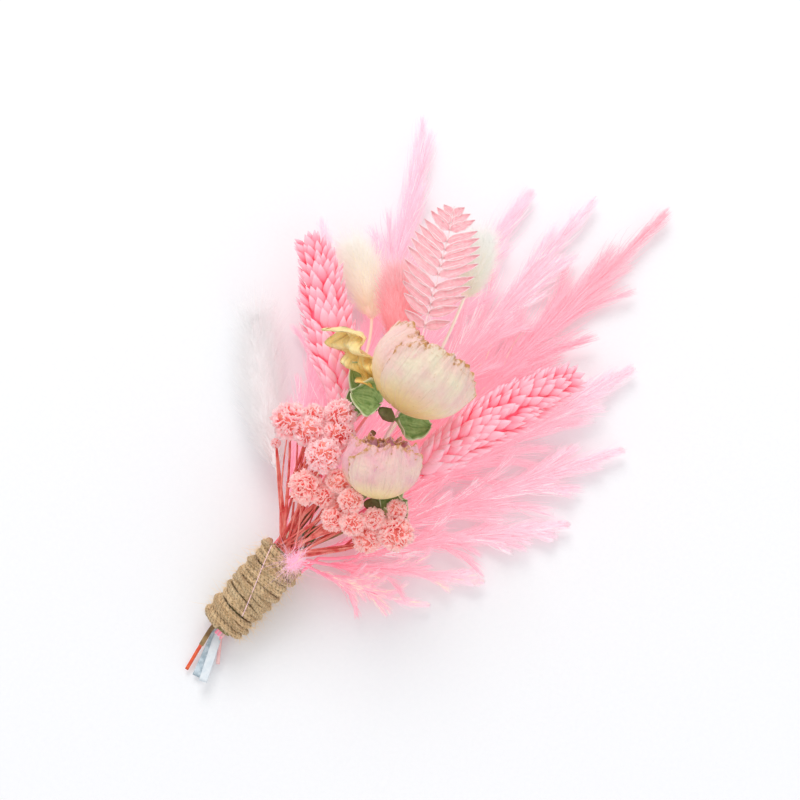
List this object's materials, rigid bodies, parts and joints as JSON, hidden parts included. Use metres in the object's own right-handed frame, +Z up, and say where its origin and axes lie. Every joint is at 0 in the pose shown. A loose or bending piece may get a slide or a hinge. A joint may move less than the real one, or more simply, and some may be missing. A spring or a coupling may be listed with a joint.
{
  "type": "dried-flower boutonniere",
  "caption": "Dried-flower boutonniere lying on its back: dried roses, dyed grass heads, a pressed fern and small filler florets, bound at the stems with jute twine.",
  "frame": {"origin": "middle of the whole piece's footprint, on the surface that it lies on", "axes": "+Y runs from the cut stem ends to the flower tips, along the longest side. +Z is up, away from the surface that the piece lies on. +X is to the right when the piece is seen from above with its tips up."},
  "size_m": [0.1032, 0.1737, 0.0441],
  "materials": {
    "jute_twine": "coarse, hairy, matt",
    "floral_tape": "waxed crepe paper, matt",
    "pink_plume": "silky dyed hairs",
    "coral_grass": "dyed overlapping scales, satin",
    "white_grass": "soft bleached hairs",
    "cream_grass": "soft hairs",
    "salmon_grass": "soft dyed hairs",
    "pink_fern": "pressed and dyed, matt",
    "filler_floret": "dried, papery, matt",
    "dried_leaf": "dried, matt",
    "rose_stem": "dried, matt",
    "cream_petal": "dried, papery, matt",
    "blush_petal": "dried, papery, matt"
  },
  "bodies": {
    "root": {"bunny_tail_cream": "cream_grass", "bunny_tail_pink": "salmon_grass", "bunny_tail_small": "cream_grass", "bunny_tail_white": "white_grass", "canary_grass_left": "coral_grass", "canary_grass_right": "coral_grass", "fern": "pink_fern", "filler_inner": "filler_floret", "filler_left": "filler_floret", "filler_middle": "filler_floret", "filler_right": "filler_floret", "floral_tape": "floral_tape", "green_leaf": "dried_leaf", "plume_far_left": "pink_plume", "plume_low": "pink_plume", "plume_low_right": "pink_plume", "plume_right_high": "pink_plume", "plume_right_low": "pink_plume", "plume_right_middle": "pink_plume", "plume_top": "pink_plume", "plume_upper_left": "pink_plume", "plume_upper_middle": "pink_plume", "plume_upper_right": "pink_plume", "rose_lower_heart": "blush_petal", "rose_lower_hip": "rose_stem", "rose_lower_petal_1": "blush_petal", "rose_lower_petal_2": "blush_petal", "rose_lower_petal_3": "blush_petal", "rose_lower_petal_4": "blush_petal", "rose_lower_petal_5": "blush_petal", "rose_lower_petal_6": "blush_petal", "rose_lower_sepal_1": "dried_leaf", "rose_lower_sepal_2": "dried_leaf", "rose_lower_sepal_3": "dried_leaf", "rose_lower_stem": "rose_stem", "rose_upper_curled_petal": "cream_petal", "rose_upper_heart": "cream_petal", "rose_upper_hip": "rose_stem", "rose_upper_petal_1": "cream_petal", "rose_upper_petal_2": "cream_petal", "rose_upper_petal_3": "cream_petal", "rose_upper_petal_4": "cream_petal", "rose_upper_petal_5": "cream_petal", "rose_upper_petal_6": "cream_petal", "rose_upper_sepal_1": "dried_leaf", "rose_upper_sepal_2": "dried_leaf", "rose_upper_sepal_3": "dried_leaf", "rose_upper_sepal_4": "dried_leaf", "rose_upper_stem": "rose_stem", "twine": "jute_twine"}
  },
  "joints": []
}
